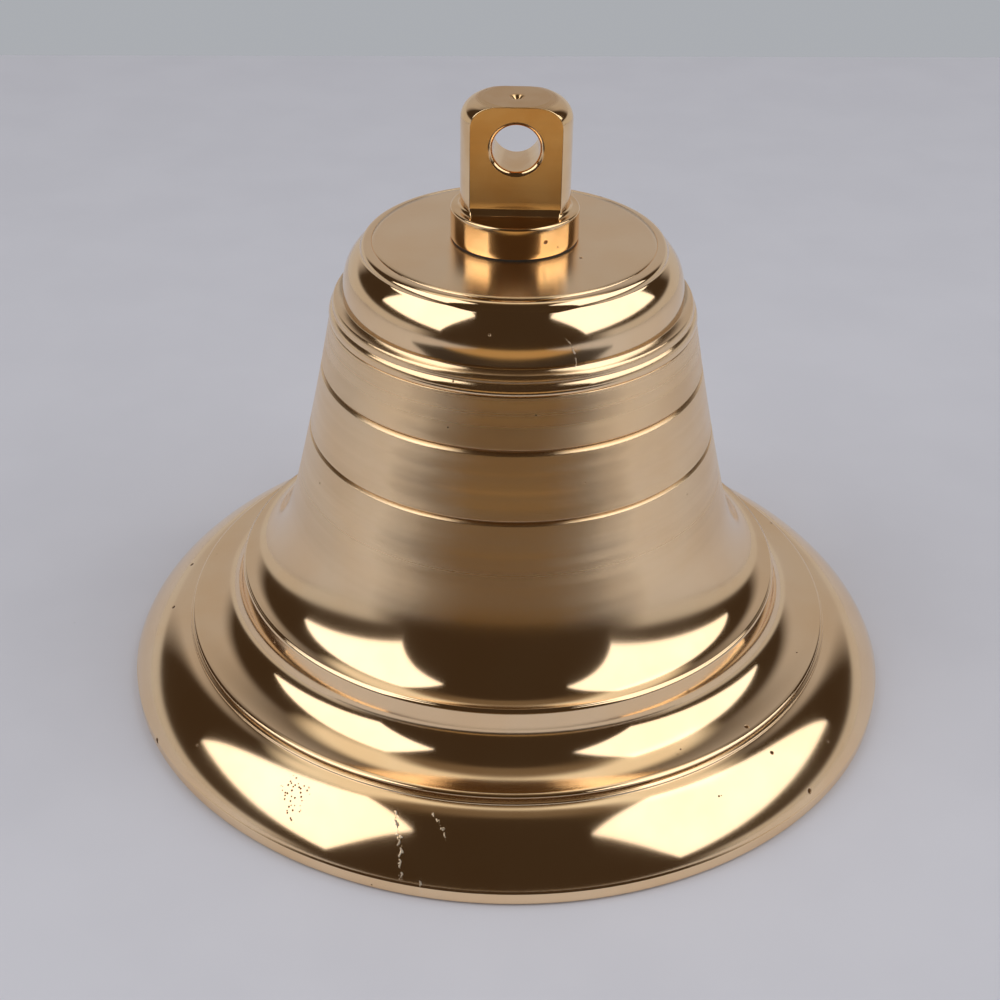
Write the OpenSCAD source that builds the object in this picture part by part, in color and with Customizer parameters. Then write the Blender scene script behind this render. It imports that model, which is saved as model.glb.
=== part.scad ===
// Ship bell: a turned brass bell hung by a lug on its crown, with a clapper inside.
// It stands on its rim at Z = 0. Z is the bell's axis, and the bore of the lug lies along Y.

/* [Mouth and lip] */
// Diameter of the mouth, over the rim
mouth_d = 300; // [299:0.5:304]
// Height of the upright edge of the rim
rim_h = 5.9; // [5.4:0.1:6.4]
// Width of the flat ring that the bell stands on
foot_w = 7; // [5:0.5:9]
// Radius where the rounded lip starts, under the lower crest
lip_r = 128; // [127.6:0.1:128.6]
// Height where the rounded lip starts
lip_z = 24.3; // [24:0.1:24.5]

/* [Mouldings] */
// Radius of the lower crest
crest2_r = 126; // [125.5:0.1:126.4]
// Height of the lower crest
crest2_z = 28; // [27.8:0.1:28.6]
// Radius of the upper crest
crest1_r = 105; // [104.5:0.1:105.4]
// Height of the upper crest
crest1_z = 48; // [47.5:0.1:49]
// Height of the band under the upper crest, which leans out a little
band_h = 7; // [6:0.1:7.5]

/* [Waist] */
// Radius at the foot of the waist, where it starts to flare
waist_low_r = 83; // [82.5:0.1:84]
// Height at the foot of the waist
waist_low_z = 78; // [76:0.5:79]
// Radius at the top of the waist, under the shoulder
waist_top_r = 67.2; // [67:0.1:67.5]
// Height at the top of the waist
waist_top_z = 151.4; // [151:0.1:151.6]
// Heights of the two turned grooves
groove_z = [132, 106.9];
// Half heights of the two turned grooves
groove_half = [1.1, 0.8];
// Depth of the turned grooves
groove_depth = 0.9; // [0.5:0.1:1.2]

/* [Shoulder and crown] */
// Radius at the top of the rounded shoulder
shoulder_top_r = 55.4; // [55.2:0.1:55.8]
// Radius at the foot of the rounded shoulder
shoulder_foot_r = 62.2; // [61.6:0.1:62.6]
// Height at the foot of the rounded shoulder
shoulder_foot_z = 158.7; // [158.4:0.1:159]
// Slope of the rounded shoulder at its top, measured from upright
shoulder_slope = 48; // [45:1:55]
// Radius of the step under the shoulder
step_r = 66; // [65.6:0.1:66.3]
// Radius of the flat disc on the crown
disc_r = 51.1; // [50.6:0.1:51.4]
// Height of the seat for the lug
crown_z = 180.9; // [180.5:0.1:181.3]
// Fall of the domed disc from the seat to its edge
dome_fall = 1; // [0.8:0.1:1.4]
// Thickness of the crown
crown_t = 8; // [7:0.5:9]

/* [Hanging lug] */
// Diameter of the lug over its turned sides
lug_d = 39.1; // [37:0.1:40]
// Thickness of the lug between its flats
lug_t = 22.5; // [20:0.1:24]
// Height of the lug above its boss
lug_h = 39.2; // [37:0.1:42]
// Diameter of the boss
boss_d = 46; // [43:0.1:47]
// Height of the boss
boss_h = 11.5; // [9:0.1:12]
// Diameter of the bore through the lug
bore_d = 16.6; // [14:0.1:17]
// Height of the bore above the rim plane
bore_z = 217.2; // [214:0.1:218]
// Width of the chamfer round each end of the bore
bore_chamfer = 1.8; // [1:0.1:2.5]
// Rounding of the top corners of the lug
lug_round = 7.5; // [6:0.5:8]

/* [Fastening inside the crown] */
// Diameter of the threaded stud under the lug
stud_d = 16; // [14:0.5:16]
// Thickness of the gasket under the boss
gasket_t = 0.6; // [0.4:0.1:1]
// Thickness of the plain washer
washer_t = 2; // [1.5:0.1:2.5]
// Thickness of the spring washer, closed up
spring_t = 2.5; // [2:0.1:3]
// Width across the flats of the crown nut
nut_af = 24; // [23:0.5:27]
// Height of the crown nut
nut_h = 8; // [7:0.5:9]

/* [Clapper hanger] */
// Diameter of the hanger's hub
hub_d = 27; // [25:0.5:29]
// Height of the hub above the slot
hub_h = 10; // [9:0.5:11]
// Distance from the slot's roof to the hinge pin
pin_drop = 11; // [10.5:0.5:12]
// Width of the slot between the cheeks
slot_w = 10.8; // [10.4:0.1:11.2]
// Thickness of each cheek
cheek_t = 5; // [4:0.5:6]
// Radius of the cheeks round the hinge pin
cheek_r = 9.5; // [9:0.5:10.5]
// Diameter of the hinge pin
pin_d = 8; // [7:0.5:8]

/* [Clapper] */
// Diameter of the clapper ball
ball_d = 38; // [36:0.5:40]
// Gap between the clapper's tail and the rim plane
tail_gap = 4; // [3:0.5:8]
// Length of the drilled tail under the ball
tail_l = 9; // [8:0.5:10]
// Diameter of the clapper rod
rod_d = 9; // [8:0.5:9.5]
// Diameter of the hole for the bell rope
rope_hole_d = 5; // [4:0.5:5]

/* [Hidden] */
$fn = 96;

brass = "goldenrod";
dark_brass = "darkgoldenrod";
steel = "silver";
bronze = "peru";
fibre = "dimgray";

// Heights that follow from the stack inside the crown
inner_crown_z = crown_z - crown_t;
washer_z = inner_crown_z - washer_t;
spring_z = washer_z - spring_t;
nut_z = spring_z - nut_h;
slot_roof_z = nut_z - hub_h;
hinge_z = slot_roof_z - pin_drop;
boss_z = crown_z + gasket_t;
lug_z = boss_z + boss_h;
lug_top_z = lug_z + lug_h;
stud_end_z = slot_roof_z + 1;
stud_hole_r = stud_d / 2 + 0.5;
thread_gap = 0.05;
ball_z = tail_gap + tail_l + ball_d / 2 - 1;

// Points on an arc from a to b that turns through the given angle; positive bulges to the right
function arc(a, b, turn, n) =
    let (d = b - a,
         r = norm(d) / (2 * sin(turn / 2)),
         mid = (a + b) / 2,
         h = r * cos(turn / 2),
         side = [d[1], -d[0]] / norm(d),
         c = mid - side * h,
         a0 = atan2(a[1] - c[1], a[0] - c[0]))
    [for (i = [0 : n]) c + abs(r) * [cos(a0 + turn * i / n), sin(a0 + turn * i / n)]];

// Points on a cubic curve with end points a and d and handles b and c
function curve(a, b, c, d, n) =
    [for (i = [0 : n])
        let (t = i / n, u = 1 - t)
        u * u * u * a + 3 * u * u * t * b + 3 * u * t * t * c + t * t * t * d];

// Points on a circle's arc about a centre
function round_about(c, r, a0, a1, n) =
    [for (i = [0 : n]) let (t = a0 + (a1 - a0) * i / n) c + r * [cos(t), sin(t)]];

// Radius of the slightly hollow waist at height z
waist_hollow = 0.6;
function waist_r(z) =
    let (t = (waist_top_z - z) / (waist_top_z - waist_low_z))
    waist_top_r + (waist_low_r - waist_top_r) * t - 4 * waist_hollow * t * (1 - t);

// The V of a turned groove, from its upper edge to its lower edge
function groove(z, half) = [
    [waist_r(z + half), z + half],
    [waist_r(z) - groove_depth, z],
    [waist_r(z - half), z - half]
];

// Outside of the bell from the seat on the crown down to the foot
rim_r = mouth_d / 2;
rim_round = 1.8;
shoulder_top_z = crown_z - dome_fall - 2.9;
bead_top = [disc_r + 0.3, crown_z - dome_fall - 0.05];
bead_foot = [shoulder_top_r, shoulder_top_z];
shoulder_foot = [shoulder_foot_r, shoulder_foot_z];
step_out = [step_r - 0.8, shoulder_foot_z];
step_foot = [step_r, shoulder_foot_z - 2.8];
waist_top = [waist_top_r, waist_top_z];
seat_r = boss_d / 2 + 1.3;
dome_turn = 2 * atan2(dome_fall, disc_r - seat_r);
quirk = 0.35;
band_lean = 0.6;
cove_top = [crest1_r + band_lean, crest1_z - band_h];
cove_foot = [crest2_r - 0.9, crest2_z];
crest_round = 1.5;

outer_top = concat(
    arc([seat_r, crown_z], [disc_r, crown_z - dome_fall], -dome_turn, 5),
    [[disc_r + 0.1, crown_z - dome_fall - quirk]],
    curve(bead_top, bead_top + [2.3, 0], bead_foot + [-0.5, 2.3], bead_foot, 12),
    curve(bead_foot, bead_foot + 8.2 * [sin(shoulder_slope), -cos(shoulder_slope)],
          shoulder_foot + [0, 8], shoulder_foot, 16),
    arc(step_out, step_foot, -60, 4),
    arc(step_foot + [0.1, -0.3], waist_top + [0.1, 0.4], -70, 6)
);
outer_waist = concat(
    [waist_top + [-quirk, 0.2], waist_top],
    [for (z = [waist_top_z - 6 : -6 : groove_z[0] + 2]) [waist_r(z), z]],
    groove(groove_z[0], groove_half[0]),
    [for (z = [groove_z[0] - 7 : -7 : groove_z[1] + 2]) [waist_r(z), z]],
    groove(groove_z[1], groove_half[1]),
    [for (z = [groove_z[1] - 7 : -7 : waist_low_z + 2]) [waist_r(z), z]]
);
outer_flare = curve(
    [waist_low_r, waist_low_z], [waist_low_r + 3.8, waist_low_z - 14.5],
    [crest1_r - 11, crest1_z + 1.5], [crest1_r - 0.8, crest1_z], 10
);
outer_cove = [for (t = [0 : 10 : 90])
    [cove_foot[0] - (cove_foot[0] - cove_top[0]) * cos(t),
     cove_top[1] - (cove_top[1] - cove_foot[1]) * sin(t)]];
outer_fillets = [
    [crest2_r, crest2_z - 0.6],
    [crest2_r, crest2_z - 2.1],
    [crest2_r - quirk, crest2_z - 2.4],
    [crest2_r + 0.9, crest2_z - 2.8],
    [crest2_r + 1, crest2_z - 3.4],
    [lip_r - quirk, lip_z + 0.1]
];
outer_lip = arc([lip_r, lip_z], [rim_r - 0.4, rim_h], -52, 12);
outer_rim = concat(
    [[rim_r, rim_h - 0.6]],
    round_about([rim_r - rim_round, rim_round], rim_round, 0, -90, 5)
);

// Inside of the bell from the foot up to the hole in the crown
foot_r = rim_r - rim_round - foot_w;
inner_low = [foot_r - 3.5, 2.2];
inner_waist_low = [waist_low_r - 6.4, waist_low_z];
inner_waist_top = [waist_top_r - 7.2, waist_top_z - 3];
inner_neck = [shoulder_foot_r - 6.8, shoulder_foot_z + 2];
inner_outline = concat(
    [[foot_r, 0]],
    curve(inner_low, inner_low + [-21.5, 18.5], inner_waist_low + [6.3, -32], inner_waist_low, 14),
    [inner_waist_top],
    arc(inner_neck, [42, inner_crown_z], 58, 8),
    [[stud_hole_r, inner_crown_z]]
);

module bell_shell() {
    color(brass)
        rotate_extrude($fn = 180)
            polygon(concat(
                [[stud_hole_r, crown_z]], outer_top, outer_waist, outer_flare,
                round_about([crest1_r - crest_round, crest1_z - crest_round], crest_round, 60, 0, 4),
                outer_cove, outer_fillets, outer_lip, outer_rim, inner_outline
            ));
}

// The waste on one side of the lug: everything in front of the flat, down to the filleted foot
module flat_cutter() {
    fillet = 3;
    reach = boss_d;
    flat_y = lug_t / 2;
    translate([-reach / 2, flat_y, lug_z + fillet]) cube([reach, reach, lug_h]);
    translate([-reach / 2, flat_y + fillet, lug_z]) cube([reach, reach, lug_h]);
    translate([0, flat_y + fillet, lug_z + fillet]) rotate([0, 90, 0])
        cylinder(r = fillet, h = reach, center = true);
}

module hanging_lug() {
    lug_r = lug_d / 2;
    boss_r = boss_d / 2;
    boss_edge = 0.9;
    color(dark_brass)
        difference() {
            rotate_extrude($fn = 120)
                polygon(concat(
                    [[0, stud_end_z], [stud_d / 2 - 1, stud_end_z], [stud_d / 2, stud_end_z + 1]],
                    [[stud_d / 2, boss_z], [boss_r - 0.4, boss_z], [boss_r, boss_z + 0.4]],
                    round_about([boss_r - boss_edge, lug_z - boss_edge], boss_edge, 0, 90, 5),
                    [[lug_r + 1.2, lug_z], [lug_r, lug_z + 1.2]],
                    round_about([lug_r - lug_round, lug_top_z - lug_round], lug_round, 0, 90, 10),
                    [[0, lug_top_z]]
                ));
            flat_cutter();
            mirror([0, 1, 0]) flat_cutter();
            translate([0, 0, bore_z]) rotate([90, 0, 0]) {
                cylinder(d = bore_d, h = lug_t + 2, center = true);
                for (side = [0, 1]) mirror([0, 0, side])
                    translate([0, 0, lug_t / 2 - bore_chamfer])
                        cylinder(r1 = bore_d / 2, r2 = bore_d / 2 + bore_chamfer + 1,
                                 h = bore_chamfer + 1);
            }
            translate([0, 0, lug_top_z - 2]) cylinder(r1 = 0.4, r2 = 3, h = 2.4);
            lock_pin_hole();
        }
}

module crown_gasket() {
    color(fibre)
        translate([0, 0, crown_z])
            difference() {
                cylinder(d = boss_d - 0.8, h = gasket_t);
                translate([0, 0, -1]) cylinder(r = stud_hole_r, h = gasket_t + 2);
            }
}

module crown_washer() {
    color(brass)
        translate([0, 0, washer_z])
            difference() {
                cylinder(d = 34, h = washer_t);
                translate([0, 0, -1]) cylinder(r = stud_hole_r, h = washer_t + 2);
            }
}

module spring_washer() {
    color(steel)
        translate([0, 0, spring_z])
            difference() {
                cylinder(d = 26.5, h = spring_t);
                translate([0, 0, -1]) cylinder(r = stud_hole_r, h = spring_t + 2);
                rotate([0, 0, 40]) translate([0, -0.8, -1]) cube([20, 1.6, spring_t + 2]);
            }
}

// A hexagon nut with its lower face at z = 0 and its corners turned off on the free side
module hex_nut(af, h, hole_r, chamfer_top) {
    corner_r = af / sqrt(3);
    turned_r = af / 2;
    difference() {
        intersection() {
            cylinder(r = corner_r, h = h, $fn = 6);
            rotate_extrude()
                polygon(chamfer_top
                    ? [[0, 0], [corner_r, 0], [corner_r, h - 1.1], [turned_r, h], [0, h]]
                    : [[0, 0], [turned_r, 0], [corner_r, 1.1], [corner_r, h], [0, h]]);
        }
        translate([0, 0, -1]) cylinder(r = hole_r, h = h + 2);
    }
}

module crown_nut() {
    color(brass)
        translate([0, 0, nut_z])
            hex_nut(nut_af, nut_h, stud_d / 2 + thread_gap, false);
}

// The cross hole shared by the hub and the stud
lock_pin_r = 2;
lock_pin_z = slot_roof_z + hub_h / 2;
module lock_pin_hole() {
    translate([0, 0, lock_pin_z]) rotate([90, 0, 0])
        cylinder(r = lock_pin_r, h = hub_d + 2, center = true);
}

// Faces across the hinge, measured along X from the middle of the slot
cheek_in = slot_w / 2;
cheek_out = cheek_in + cheek_t;
pin_r = pin_d / 2;

module clapper_hanger() {
    roof_blend = 2;
    color(dark_brass)
        difference() {
            union() {
                translate([0, 0, slot_roof_z]) cylinder(d = hub_d, h = hub_h - 0.6);
                translate([0, 0, nut_z - 0.6]) cylinder(d1 = hub_d, d2 = hub_d - 1.2, h = 0.6);
                for (side = [0, 1]) mirror([side, 0, 0]) {
                    translate([cheek_in, -cheek_r, hinge_z])
                        cube([cheek_t, 2 * cheek_r, pin_drop + roof_blend]);
                    translate([cheek_in, 0, hinge_z]) rotate([0, 90, 0])
                        cylinder(r = cheek_r, h = cheek_t);
                }
            }
            translate([0, 0, stud_end_z - 0.5])
                cylinder(r = stud_d / 2 + thread_gap, h = hub_h + 5);
            translate([0, 0, hinge_z]) rotate([0, 90, 0])
                cylinder(r = pin_r + 0.03, h = 4 * cheek_out, center = true);
            lock_pin_hole();
        }
}

module hanger_lock_pin() {
    wall = 0.5;
    color(steel)
        translate([0, 0, lock_pin_z]) rotate([90, 0, 0])
            difference() {
                cylinder(r = lock_pin_r - 0.02, h = hub_d - 1.4, center = true);
                cylinder(r = lock_pin_r - wall, h = hub_d, center = true);
                translate([0, -0.3, -hub_d]) cube([lock_pin_r * 2, 0.6, 2 * hub_d]);
            }
}

// The headed pin lies along X, with its head on the positive side
head_t = 3;
pin_washer_t = 1.2;
split_x = -(cheek_out + pin_washer_t + 1.4);
module hinge_pin() {
    end_x = split_x - 2.8;
    color(steel)
        difference() {
            translate([0, 0, hinge_z]) rotate([0, 90, 0])
                rotate_extrude()
                    polygon([
                        [0, end_x], [pin_r - 0.8, end_x], [pin_r, end_x + 0.8],
                        [pin_r, cheek_out], [pin_r + 2.5, cheek_out],
                        [pin_r + 2.5, cheek_out + head_t - 0.6],
                        [pin_r + 1.9, cheek_out + head_t], [0, cheek_out + head_t]
                    ]);
            translate([split_x, 0, hinge_z]) cylinder(r = 1.1, h = 4 * pin_r, center = true);
        }
}

module pin_washer() {
    color(brass)
        translate([-cheek_out - pin_washer_t, 0, hinge_z]) rotate([0, 90, 0])
            difference() {
                cylinder(r = pin_r + 3.5, h = pin_washer_t);
                translate([0, 0, -1]) cylinder(r = pin_r + 0.2, h = pin_washer_t + 2);
            }
}

// A split pin through the end of the hinge pin: a stem, an eye above and one leg turned aside
module split_pin() {
    wire_r = 0.9;
    eye_r = 2;
    stem_low = hinge_z - pin_r - 3;
    eye_z = hinge_z + pin_r + 2.6;
    color(steel)
        translate([split_x, 0, 0]) {
            translate([0, 0, stem_low]) cylinder(r = wire_r, h = eye_z - eye_r - stem_low);
            translate([0, 0, eye_z]) rotate([0, 90, 0])
                rotate_extrude($fn = 48) translate([eye_r, 0]) circle(r = wire_r, $fn = 24);
            translate([0, 0, stem_low]) sphere(r = wire_r, $fn = 24);
            translate([0, 0, stem_low]) rotate([125, 0, 0]) cylinder(r = wire_r, h = 3.6);
        }
}

// Parts of the hinge that lie inside the slot
side_t = 1.2;
eye_half = cheek_in - side_t - 0.3;
bush_r = 6.2;
eye_r = 9;

module side_washers() {
    color(bronze)
        for (side = [0, 1]) mirror([side, 0, 0])
            translate([cheek_in - side_t, 0, hinge_z]) rotate([0, 90, 0])
                difference() {
                    cylinder(r = 7.8, h = side_t);
                    translate([0, 0, -1]) cylinder(r = pin_r + 0.15, h = side_t + 2);
                }
}

module hinge_bush() {
    color(bronze)
        translate([0, 0, hinge_z]) rotate([0, 90, 0])
            difference() {
                cylinder(r = bush_r - 0.02, h = 2 * eye_half, center = true);
                cylinder(r = pin_r + 0.06, h = 4 * eye_half, center = true);
            }
}

// Clapper rod: a flat eye, a round shank and a threaded end that screws into the ball
neck_z = hinge_z - 15;
rod_shoulder_z = ball_z + ball_d / 2 + 9;
thread_r = 4;
thread_end_z = ball_z + 3;

module clapper_rod() {
    rod_r = rod_d / 2;
    color(dark_brass)
        difference() {
            union() {
                translate([0, 0, hinge_z]) rotate([0, 90, 0])
                    cylinder(r = eye_r, h = 2 * eye_half, center = true);
                translate([-eye_half, -rod_r - 1, neck_z])
                    cube([2 * eye_half, 2 * rod_r + 2, hinge_z - neck_z]);
                rotate_extrude()
                    polygon([
                        [0, thread_end_z], [thread_r - 0.8, thread_end_z],
                        [thread_r, thread_end_z + 0.8], [thread_r, rod_shoulder_z - 0.5],
                        [rod_r, rod_shoulder_z], [rod_r, neck_z - 2],
                        [rod_r + 1, neck_z - 1], [rod_r + 1, neck_z], [eye_half, neck_z + 1],
                        [0, neck_z + 1]
                    ]);
            }
            translate([0, 0, hinge_z]) rotate([0, 90, 0])
                cylinder(r = bush_r, h = 4 * eye_half, center = true);
        }
}

ball_flat_r = 7.5;
ball_flat_z = ball_z + sqrt(ball_d * ball_d / 4 - ball_flat_r * ball_flat_r);

module ball_lock_nut() {
    color(brass)
        translate([0, 0, ball_flat_z])
            hex_nut(15, 6.5, thread_r + thread_gap, true);
}

module clapper_ball() {
    tail_r = 6;
    tail_half = 4;
    tail_low_z = tail_gap;
    rope_z = tail_low_z + 4.5;
    ball_r = ball_d / 2;
    color(brass)
        difference() {
            union() {
                translate([0, 0, ball_z]) sphere(r = ball_r, $fn = 96);
                intersection() {
                    union() {
                        translate([0, 0, tail_low_z]) cylinder(r1 = 4.5, r2 = tail_r, h = 1.5);
                        translate([0, 0, tail_low_z + 1.5]) cylinder(r = tail_r, h = tail_l);
                    }
                    translate([-tail_half, -tail_r - 1, 0])
                        cube([2 * tail_half, 2 * tail_r + 2, ball_z]);
                }
            }
            translate([0, 0, ball_flat_z]) cylinder(r = ball_r, h = ball_r);
            translate([0, 0, thread_end_z - 0.5]) cylinder(r = thread_r + thread_gap, h = ball_r);
            translate([0, 0, rope_z]) rotate([0, 90, 0])
                cylinder(d = rope_hole_d, h = 4 * tail_r, center = true);
        }
}

bell_shell();
hanging_lug();
crown_gasket();
crown_washer();
spring_washer();
crown_nut();
clapper_hanger();
hanger_lock_pin();
hinge_pin();
pin_washer();
split_pin();
side_washers();
hinge_bush();
clapper_rod();
ball_lock_nut();
clapper_ball();
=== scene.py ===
# Ship bell standing on its rim: turned brass shell, hanging lug, crown fastenings and clapper.
# Outlines are written in millimetres, and become metres when a mesh is made.
import math

import bmesh
import bpy
from mathutils import Matrix, Vector


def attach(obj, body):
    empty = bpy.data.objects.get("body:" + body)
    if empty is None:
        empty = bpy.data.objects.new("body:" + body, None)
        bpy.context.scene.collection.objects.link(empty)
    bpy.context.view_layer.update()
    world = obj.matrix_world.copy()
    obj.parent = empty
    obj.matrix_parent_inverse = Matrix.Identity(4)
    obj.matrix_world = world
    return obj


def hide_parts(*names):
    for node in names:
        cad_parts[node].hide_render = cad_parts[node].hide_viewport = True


MM = 0.001
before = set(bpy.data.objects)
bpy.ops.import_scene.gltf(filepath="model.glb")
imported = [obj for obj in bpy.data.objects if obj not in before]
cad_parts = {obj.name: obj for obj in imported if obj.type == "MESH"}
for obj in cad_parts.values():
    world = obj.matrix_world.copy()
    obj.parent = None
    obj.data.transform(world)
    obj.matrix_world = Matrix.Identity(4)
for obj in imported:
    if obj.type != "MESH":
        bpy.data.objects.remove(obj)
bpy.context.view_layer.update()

# ---------------------------------------------------------------- camera
scene = bpy.context.scene
scene.view_settings.view_transform = "Standard"


def add_camera():
    yaw, pitch, roll = math.radians(-0.366), math.radians(31.92), math.radians(0.952)
    ahead = Vector((math.sin(yaw) * math.cos(pitch), math.cos(yaw) * math.cos(pitch), -math.sin(pitch)))
    level = Vector((math.cos(yaw), -math.sin(yaw), 0))
    above = level.cross(ahead)
    right = level * math.cos(roll) + above * math.sin(roll)
    up = above * math.cos(roll) - level * math.sin(roll)
    data = bpy.data.cameras.new("camera")
    data.sensor_width = 36
    data.lens = 61.3
    camera = bpy.data.objects.new("camera", data)
    turn = Matrix((right, up, -ahead)).transposed().to_4x4()
    camera.matrix_world = Matrix.Translation((0, -0.5682, 0.4232)) @ turn
    scene.collection.objects.link(camera)
    scene.camera = camera


add_camera()

# ---------------------------------------------------------------- sizes, in millimetres
RIM_R, RIM_H, RIM_ROUND, FOOT_W = 150, 5.9, 1.8, 7
LIP = (128, 24.3)
CREST2 = (126, 28)
CREST1 = (105, 48)
CREST_ROUND = 1.5
BAND_H, BAND_LEAN = 7, 0.6
WAIST_LOW = (83, 78)
WAIST_TOP = (67.2, 151.4)
WAIST_HOLLOW = 0.6
GROOVES = ((132, 1.1), (106.9, 0.8))
GROOVE_DEPTH = 0.9
SHOULDER_TOP = (55.4, 177.0)
SHOULDER_FOOT = (62.2, 158.7)
SHOULDER_SLOPE, SHOULDER_REACH = 48, 8.2
STEP_R = 66
DISC_R = 51.1
CROWN_Z = 180.9
DOME_FALL = 1.0
INNER_CROWN_Z = 172.9
SEAT_R = 24.3
STUD_HOLE_R = 8.5
QUIRK = 0.35

LUG_R, LUG_HALF, LUG_Z, LUG_TOP = 19.55, 11.25, 193.0, 232.2
LUG_ROUND = 7.5
BOSS_R, BOSS_Z = 23, 181.5
BORE_R, BORE_Z, BORE_CHAMFER = 8.3, 217.2, 1.8
STUD_R, STUD_END = 8, 151.4


# ---------------------------------------------------------------- outlines
def arc(a, b, turn, steps):
    """Points on an arc from a to b; a negative turn bulges to the outside on the way down"""
    a, b = Vector(a), Vector(b)
    half = math.radians(turn) / 2
    chord = b - a
    radius = chord.length / (2 * math.sin(half))
    side = Vector((chord.y, -chord.x)).normalized()
    centre = (a + b) / 2 - side * radius * math.cos(half)
    start = math.atan2(a.y - centre.y, a.x - centre.x)
    size = abs(radius)
    out = []
    for i in range(steps + 1):
        angle = start + 2 * half * i / steps
        out.append((centre.x + size * math.cos(angle), centre.y + size * math.sin(angle)))
    return out


def curve(a, b, c, d, steps):
    """Points on a cubic curve from a to d with handles b and c"""
    out = []
    for i in range(steps + 1):
        t = i / steps
        u = 1 - t
        w = (u * u * u, 3 * u * u * t, 3 * u * t * t, t * t * t)
        out.append(tuple(sum(k * p[axis] for k, p in zip(w, (a, b, c, d))) for axis in (0, 1)))
    return out


def waist_r(z):
    t = (WAIST_TOP[1] - z) / (WAIST_TOP[1] - WAIST_LOW[1])
    return WAIST_TOP[0] + (WAIST_LOW[0] - WAIST_TOP[0]) * t - 4 * WAIST_HOLLOW * t * (1 - t)


def softened(corners):
    """A path of (r, z, rounding): each corner with a rounding becomes a short arc"""
    out = []
    count = len(corners)
    for i, (x, y, rounding) in enumerate(corners):
        here = Vector((x, y))
        if rounding <= 0 or i in (0, count - 1):
            out.append((x, y))
            continue
        before = Vector(corners[i - 1][:2]) - here
        after = Vector(corners[i + 1][:2]) - here
        reach = min(rounding, before.length * 0.45, after.length * 0.45)
        a = here + before.normalized() * reach
        b = here + after.normalized() * reach
        for k in range(5):
            t = k / 4
            point = a * (1 - t) ** 2 + here * 2 * t * (1 - t) + b * t * t
            out.append((point.x, point.y))
    return out


def plain(points):
    return [(x, y, 0) for x, y in points]


def waist_path():
    """The hollow waist with its two turned grooves, from the top down"""
    path = []
    z = WAIST_TOP[1] - 1
    for groove_z, half in GROOVES:
        while z > groove_z + half + 1.2:
            path.append((waist_r(z), z, 0))
            z -= 1.6
        path.append((waist_r(groove_z + half + 0.6), groove_z + half + 0.6, 0))
        path.append((waist_r(groove_z + half), groove_z + half, 0.25))
        path.append((waist_r(groove_z) - GROOVE_DEPTH, groove_z + 0.15, 0.2))
        path.append((waist_r(groove_z) - GROOVE_DEPTH, groove_z - 0.15, 0.2))
        path.append((waist_r(groove_z - half), groove_z - half, 0.25))
        path.append((waist_r(groove_z - half - 0.6), groove_z - half - 0.6, 0))
        z = groove_z - half - 1.8
    while z > WAIST_LOW[1] + 0.8:
        path.append((waist_r(z), z, 0))
        z -= 1.6
    return path


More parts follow.
